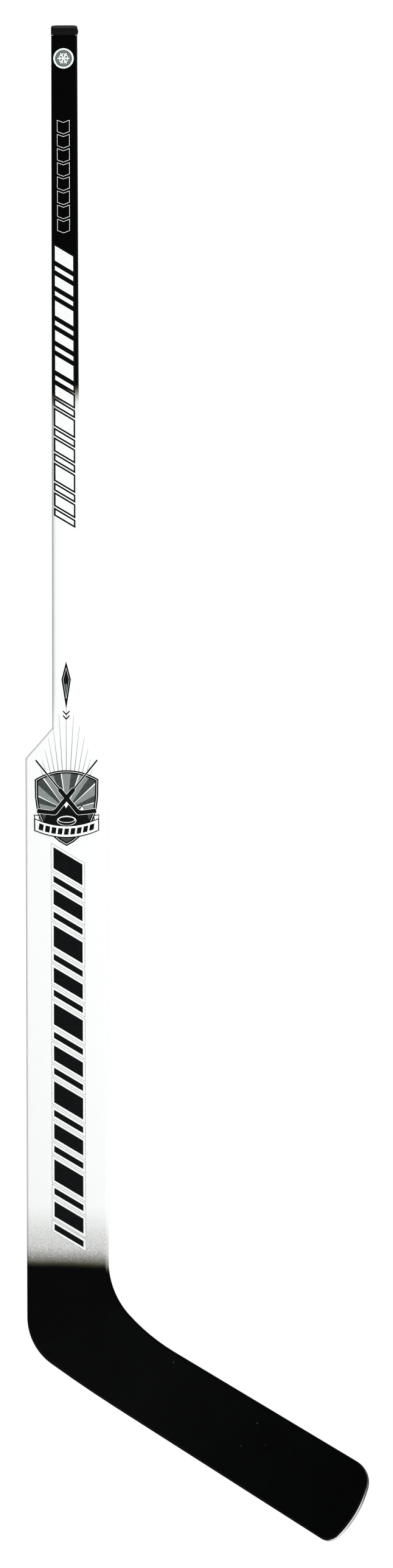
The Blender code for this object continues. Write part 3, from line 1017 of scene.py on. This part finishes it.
# ---- slanted bars down the paddle and the shaft ----
paddleBars = {
    "left": -14.4,
    "right": 17.1,
    "top": -180.0,
    "pitch": 85.0,
    "count": 5,
    "slope": 0.60,
    "line": 2.75,
    "lineWidth": 0.42,
}
shaftBars = {
    "left": -10.9,
    "right": 8.9,
    "top": 475.0,
    "pitch": 59.7,
    "count": 5,
    "slope": 0.60,
    "outline": 1.75,
}
barShares = (0.270, 0.080, 0.190, 0.080)  # heights of one group's bars, as shares of the pitch
barGap = 0.095


def barShapes(bars):
    # one group of slanted bars, thick and thin
    top = bars["top"]
    solids = []
    for share in barShares:
        height = share * bars["pitch"]
        solids.append(slantBar(bars["left"], bars["right"], top, height, bars["slope"]))
        top -= height + barGap * bars["pitch"]
    return solids


def makePaddleBars():
    solids = barShapes(paddleBars)
    values = {"Count": paddleBars["count"], "Pitch": paddleBars["pitch"] * mm}
    line = paddleBars["line"]
    keylines = [(insetRing(bar, -line), 1, None) for bar in solids]
    repeatedInk("paddleKeyline", keylines, inkLine, downTree, values)
    halos = [(insetRing(bar, paddleBars["lineWidth"] - line), 2, None) for bar in solids]
    repeatedInk("paddleBarsHalo", halos, inkWhite, downTree, values)
    bars = [(bar, 3, None) for bar in solids]
    repeatedInk("paddleBars", bars, inkBlack, downTree, values)


def makeShaftBars():
    solids = barShapes(shaftBars)
    values = {"Count": shaftBars["count"], "Pitch": shaftBars["pitch"] * mm}
    outer = [(insetRing(bar, -shaftBars["outline"]), 1, None) for bar in solids]
    repeatedInk("shaftBarsOutline", outer, inkBlack, downTree, values)
    fills = [(bar, 2, None) for bar in solids]
    repeatedInk("shaftBars", fills, inkWhite, downTree, values)


makePaddleBars()
makeShaftBars()
print("goal stick: bars printed")

# ---- a column of outlined chevrons near the butt ----
chevronColumn = {
    "left": -8.2,
    "right": 5.5,
    "top": 612.0,
    "pitch": 15.4,
    "count": 8,
    "line": 0.48,
    "point": 2.6,
    "height": 12.9,
}


def makeChevrons():
    left = chevronColumn["left"]
    right = chevronColumn["right"]
    middle = (left + right) / 2
    top = chevronColumn["top"]
    bottom = top - chevronColumn["height"]
    point = chevronColumn["point"]
    band = shape((left, top), (left, bottom), (middle, bottom - point), (right, bottom), (right, top),
                 (middle, top - point))
    plates = [(band, 1, insetRing(band, chevronColumn["line"]))]
    repeatedInk("chevronColumn", plates, inkWhite, downTree,
                {"Count": chevronColumn["count"], "Pitch": chevronColumn["pitch"] * mm})


makeChevrons()

# ---- the round badge: an ice crystal on a grey disc ----
badge = {
    "centre": (-0.9, 679.0),
    "outer": 11.1,
    "inner": 9.1,
    "disc": 8.6,
    "ground": 0.5,  # the black shows this far outside the ring
    "armEdge": 0.42,
    "arms": 6,
    "steps": 64,
}


def makeBadge():
    centre = badge["centre"]
    steps = badge["steps"]
    ring = disc(centre, badge["outer"], badge["outer"], steps)
    hole = disc(centre, badge["inner"], badge["inner"], steps)
    inkPiece("badgeRing", [(ring, 2, hole)], inkWhite)
    reach = badge["outer"] + badge["ground"]
    dark = disc(centre, reach, reach, steps)
    inkPiece("badgeGround", [(dark, 1, None)], inkBlack)
    middle = disc(centre, badge["disc"], badge["disc"], steps)
    inkPiece("badgeDisc", [(middle, 2, None)], inkDisc)
    pivot = (centre[0] * mm, 0.0, centre[1] * mm)
    values = {"Count": badge["arms"], "Spread": 2 * math.pi * (badge["arms"] - 1) / badge["arms"],
              "Start": 0.0, "Pivot": pivot, "Long Ray": 1.0, "Short Ray": 1.0}
    half = [(0.0, -0.2), (0.8, 1.5), (0.8, 3.0), (2.5, 4.5), (2.0, 5.6), (0.8, 4.6), (0.7, 6.0),
            (0.0, 7.4)]
    arm = shape(*half, *[(-x, z) for x, z in half[-2:0:-1]])
    edge = insetRing(arm, -badge["armEdge"])
    repeatedInk("badgeCrystalEdge", [(edge, 3, None)], inkBlack, raysTree, values)
    repeatedInk("badgeCrystal", [(arm, 4, None)], inkWhite, raysTree, values)


makeBadge()
print("goal stick: badge printed")

# ---- a slim kite at the foot of the shaft, and the rays below it ----
kite = {
    "top": 21.6,
    "shoulder": 19.0,
    "length": 50.5,
    "half": 5.1,
    "line": (0.66, 0.60),  # outside and inside of the pale line, as shares of the kite
    "keelTop": 24.0,
    "keelFoot": 36.0,
    "chevrons": 2,
    "chevronPitch": 4.9,
    "chevronDrop": 2.0,
}


def mirrored(half):
    return shape(*half, *[(-x, z) for x, z in reversed(half)])


def kiteOutline(share):
    middle = kite["top"] - kite["shoulder"]
    below = kite["length"] - kite["shoulder"]
    return mirrored([(-0.15, middle + kite["shoulder"] * share), (-kite["half"] * share, middle),
                     (-0.15, middle - below * share)])


def makeKite():
    top = kite["top"]
    inkPiece("kite", [(kiteOutline(1.0), 2, None)], inkBlack)
    outer, inner = kite["line"]
    inkPiece("kiteLine", [(kiteOutline(outer), 3, kiteOutline(inner))], inkWhite)
    keel = mirrored([(-0.7, top - kite["keelTop"]), (-0.12, top - kite["keelFoot"])])
    inkPiece("kiteKeel", [(keel, 4, None)], inkPale)
    foot = top - kite["length"] - kite["chevronDrop"]
    chevron = shape((-3.6, foot), (-3.6, foot - 1.9), (0.0, foot - 5.7), (3.6, foot - 1.9), (3.6, foot),
                    (0.0, foot - 3.8))
    repeatedInk("kiteChevrons", [(chevron, 2, None)], inkBlack, downTree,
                {"Count": kite["chevrons"], "Pitch": kite["chevronPitch"] * mm})


rayFan = {
    "pivot": (0.0, -0.172),
    "count": 15,
    "spread": math.radians(47.0),
    "start": 0.066,
    "long": 88.0,
    "short": 6.0,
    "halfFoot": 0.46,
    "halfTip": 0.14,
}


def makeRayFan():
    foot = rayFan["halfFoot"]
    tip = rayFan["halfTip"]
    ray = shape((-foot, 0.0), (foot, 0.0), (tip, 1.0), (-tip, 1.0))
    pivot = (rayFan["pivot"][0], 0.0, rayFan["pivot"][1])
    repeatedInk("rayFan", [(ray, 1, None)], inkLine, raysTree,
                {"Count": rayFan["count"], "Spread": rayFan["spread"], "Start": rayFan["start"],
                 "Long Ray": rayFan["long"], "Short Ray": rayFan["short"], "Pivot": pivot})


makeKite()
makeRayFan()
print("goal stick: kite and rays printed")

# ---- the crest: a shield with a sunburst, peaks, two crossed sticks, a puck and a blank ribbon ----
crest = {
    "centre": Vector((0.1, -139.9)),
    "halfTop": 34.8,
    "cornerHeight": 33.6,
    "apex": 43.6,
    "whiteLine": 1.5,  # insets of the frame's lines from the shield's edge
    "blackLine": 2.0,
    "field": 3.6,
    "rays": 13,
    "rayLine": 0.034,  # angle of the pale line beside each light ray
    "stickScale": 52.0,  # millimetres of print for a metre of stick
    "stickTurn": math.radians(39.0),
    "stickButt": (-33.5, 54.6),
    "stickHalo": 0.45,
    "puckDrop": 10.2,
    "ribbonHalf": 34.2,
    "ribbonTop": -17.6,
    "ribbonFoot": -29.0,
    "ribbonRise": 7.5,
    "ribbonBorder": 1.1,
    "tailEdge": 0.8,
    "blocks": 9,
    "blockPitch": 6.9,
}


def crestShape(points):
    return turned([Vector(point) + crest["centre"] for point in points])


def clipped(outline, point, inwards):
    kept = []
    for here, there in zip(outline, outline[1:] + outline[:1]):
        sideHere = (here - point).dot(inwards)
        sideThere = (there - point).dot(inwards)
        if sideHere >= 0:
            kept.append(here)
        if sideHere * sideThere < 0:
            kept.append(here.lerp(there, sideHere / (sideHere - sideThere)))
    return kept


def shieldOutline():
    half = crest["halfTop"]
    rise = crest["apex"] - crest["cornerHeight"]
    radius = (half * half + rise * rise) / (2 * rise)
    top = []
    for step in range(17):
        x = half - 2 * half * step / 16
        top.append((x, crest["apex"] - radius + math.sqrt(radius * radius - x * x)))
    left = [(-half + 0.4, 14.0), (-half + 2.6, -2.0), (-26.5, -16.0), (-15.5, -28.0), (-8.0, -34.4),
            (0.0, -39.0)]
    right = [(-x, z) for x, z in reversed(left[:-1])]
    return crestShape(top + left + right)


def miniStick(side):
    # the stick's own outline, drawn small
    outline = lowerOutline(capHigh.z, math.radians(15.0))
    points = []
    cosine = math.cos(crest["stickTurn"])
    sine = math.sin(crest["stickTurn"])
    for point in outline:
        x = point.x * crest["stickScale"]
        z = (point.y - capHigh.z) * crest["stickScale"]
        points.append(((x * cosine - z * sine + crest["stickButt"][0]) * side,
                       x * sine + z * cosine + crest["stickButt"][1]))
    return crestShape(points)


def ribbonEdge(x, level):
    return level + crest["ribbonRise"] * (x / crest["ribbonHalf"]) ** 2


def ribbonOutline(grow=0.0):
    half = crest["ribbonHalf"] + grow
    steps = 14
    spots = [half - 2 * half * step / steps for step in range(steps + 1)]
    top = [(x, ribbonEdge(x, crest["ribbonTop"] + grow)) for x in spots]
    bottom = [(x, ribbonEdge(x, crest["ribbonFoot"] - grow)) for x in reversed(spots)]
    return crestShape(top + bottom)


def makeCrest():
    centre = crest["centre"]
    outer = shieldOutline()
    inner = insetRing(outer, crest["field"])
    black = [(outer, 2, None), (insetRing(outer, crest["blackLine"]), 4, None)]
    white = [(insetRing(outer, crest["whiteLine"]), 3, None)]
    deep = [(inner, 5, None)]
    pale = []
    step = math.pi / crest["rays"]
    for index in range(0, crest["rays"], 2):
        first = step * index
        second = first + step * 1.02
        wedge = clipped(inner, centre, Vector((-math.sin(first), math.cos(first))))
        wedge = clipped(wedge, centre, Vector((math.sin(second), -math.cos(second))))
        if len(wedge) > 2:
            pale.append((wedge, 6, None))
            third = second + crest["rayLine"]
            edge = clipped(inner, centre, Vector((-math.sin(second), math.cos(second))))
            edge = clipped(edge, centre, Vector((math.sin(third), -math.cos(third))))
            white.append((edge, 6, None))
    peaks = crestShape([(-27.0, -17.0), (-22.5, -6.0), (-17.5, 1.5), (-12.0, -3.5), (-7.0, 3.0),
                        (0.0, 14.5), (6.0, 4.5), (10.5, -1.0), (17.0, 5.5), (22.5, -5.0),
                        (27.0, -17.0)])
    snow = [crestShape([(0.0, 13.2), (-5.2, 4.2), (-2.6, 5.6), (-0.6, 2.2), (1.8, 6.0), (4.6, 4.4)]),
            crestShape([(-17.5, 0.3), (-20.4, -4.4), (-18.2, -3.2), (-16.4, -5.6), (-14.0, -3.2)]),
            crestShape([(17.0, 4.3), (13.2, -0.6), (15.6, 0.6), (17.4, -2.4), (19.6, -0.8)])]
    black.append((peaks, 7, None))
    white += [(cap, 8, None) for cap in snow]
    for side in (-1, 1):
        stick = miniStick(side)
        white.append((insetRing(stick, -crest["stickHalo"]), 9 + (side > 0), None))
        black.append((stick, 10 + (side > 0), None))
    puck = (centre.x, centre.y - crest["puckDrop"])
    white.append((disc((puck[0], puck[1] - 1.2), 10.6, 5.4), 12, None))
    black.append((disc((puck[0], puck[1] - 1.4), 9.8, 4.6), 13, None))
    white.append((disc(puck, 9.4, 3.4), 14, disc(puck, 8.5, 2.8)))
    black.append((ribbonOutline(crest["ribbonBorder"]), 14, None))
    white.append((ribbonOutline(), 15, None))
    tails = []
    for side in (-1, 1):
        tails.append(crestShape([(34.9 * side, -10.6), (30.0 * side, -12.6), (29.2 * side, -5.6),
                                 (35.6 * side, -4.6)]))
    black += [(tail, 12, None) for tail in tails]
    white += [(insetRing(tail, crest["tailEdge"]), 13, None) for tail in tails]
    for index in range(crest["blocks"]):
        middle = (index - (crest["blocks"] - 1) / 2) * crest["blockPitch"]
        corners = []
        for dx, level in ((-2.6, -19.9), (-2.6, -26.6), (2.2, -26.6), (2.2, -19.9)):
            lean = 0.5 if level > -23 else -0.5
            corners.append((middle + dx + lean, ribbonEdge(middle + dx, level)))
        black.append((crestShape(corners), 16, None))
    inkPiece("crestBlack", black, inkBlack)
    inkPiece("crestWhite", white, inkWhite)
    inkPiece("crestDeepGrey", deep, inkDeep)
    inkPiece("crestPaleGrey", pale, inkPale)


makeCrest()
print("goal stick: crest printed")

# ---- studio: pale floor, white surround, soft lights ----
studio = {
    "floorSize": 60.0,
    "floorGlow": 0.40,
    "surround": 0.30,
    "leftSide": 0.06,
    "behindCamera": 0.02,
}
softboxes = {
    "keyCard": {
        "place": (0.80, -1.5, 0.05),
        "target": (0.0, 0.0, -0.35),
        "width": 1.1,
        "height": 2.2,
        "power": 31.0,
        "mirrored": False,  # its reflection would grey the black edges
    },
    "fillCard": {
        "place": (-1.3, -1.5, 0.1),
        "target": (0.0, 0.0, 0.0),
        "width": 0.7,
        "height": 2.0,
        "power": 0.8,
        "mirrored": True,
    },
    "overhead": {
        "place": (0.1, -0.25, 1.55),
        "target": (0.1, 0.0, 0.0),
        "width": 1.0,
        "height": 0.7,
        "power": 3.0,
        "mirrored": True,
    },
    "behind": {
        "place": (0.9, 1.8, 0.6),
        "target": (0.1, 0.0, -0.2),
        "width": 1.4,
        "height": 1.6,
        "power": 14.0,
        "mirrored": True,
    },
}


def floorMaterial():
    material, board = newMaterial("pale floor")
    cloud = board.noise(board.place(), 3.0, 2.0)
    tone = board.blend(cloud, colour(0.80, 0.80, 0.79), colour(0.84, 0.84, 0.83))
    surface(board, {
        "Base Color": tone,
        "Roughness": board.clamp(0.55 + cloud * 0.1),
        "Emission Color": tone,
        "Emission Strength": studio["floorGlow"],
    })
    return material


def makeFloor():
    half = studio["floorSize"] / 2
    mesh = bpy.data.meshes.new("floor")
    height = cadLow.z - 0.0005
    corners = [(-half, -half, height), (half, -half, height), (half, half, height),
               (-half, half, height)]
    mesh.from_pydata(corners, [], [(0, 1, 2, 3)])
    mesh.materials.append(floorMaterial())
    floor = bpy.data.objects.new("floor", mesh)
    bpy.context.scene.collection.objects.link(floor)


def addSoftbox(name, light):
    lamp = bpy.data.lights.new(name, "AREA")
    lamp.shape = "RECTANGLE"
    lamp.size = light["width"]
    lamp.size_y = light["height"]
    lamp.energy = light["power"]
    box = bpy.data.objects.new(name, lamp)
    box.location = light["place"]
    aim = Vector(light["target"]) - Vector(light["place"])
    box.rotation_euler = aim.to_track_quat("-Z", "Y").to_euler()
    box.visible_camera = False
    box.visible_glossy = light["mirrored"]
    bpy.context.scene.collection.objects.link(box)


def makeWorld():
    world = bpy.data.worlds.new("studio")
    world.use_nodes = True
    world.node_tree.nodes.clear()
    board = Board(world.node_tree)
    x, y, z = board.axes(board.add("ShaderNodeTexCoord").out("Generated"))
    front = board.smooth(y, -0.35, -0.95)
    left = board.smooth(x, 0.1, -0.8)
    level = studio["surround"] + left * (studio["leftSide"] - studio["surround"])
    level = level + front * (studio["behindCamera"] - level)
    seen = board.add("ShaderNodeLightPath").out("Is Camera Ray")
    strength = level + seen * (1.0 - level)
    light = board.add("ShaderNodeBackground", None,
                      {"Color": colour(1.0, 1.0, 1.0), "Strength": strength})
    board.add("ShaderNodeOutputWorld", None, {"Surface": light.out()})
    bpy.context.scene.world = world


makeFloor()
makeWorld()
for name, light in softboxes.items():
    addSoftbox(name, light)

# ---- camera: square on to the front face ----
view = {"centre": (0.1417, -0.1117), "height": 1.7077, "distance": 8.0, "roll": math.radians(0.17)}


def makeCamera():
    lens = bpy.data.cameras.new("frontView")
    lens.type = "ORTHO"
    lens.ortho_scale = view["height"]
    lens.clip_end = 40.0
    camera = bpy.data.objects.new("frontView", lens)
    camera.location = (view["centre"][0], -view["distance"], view["centre"][1])
    camera.rotation_euler = (math.pi / 2, view["roll"], 0.0)
    bpy.context.scene.collection.objects.link(camera)
    bpy.context.scene.camera = camera


makeCamera()
bpy.context.scene.view_settings.view_transform = "Standard"
print("goal stick: studio ready")
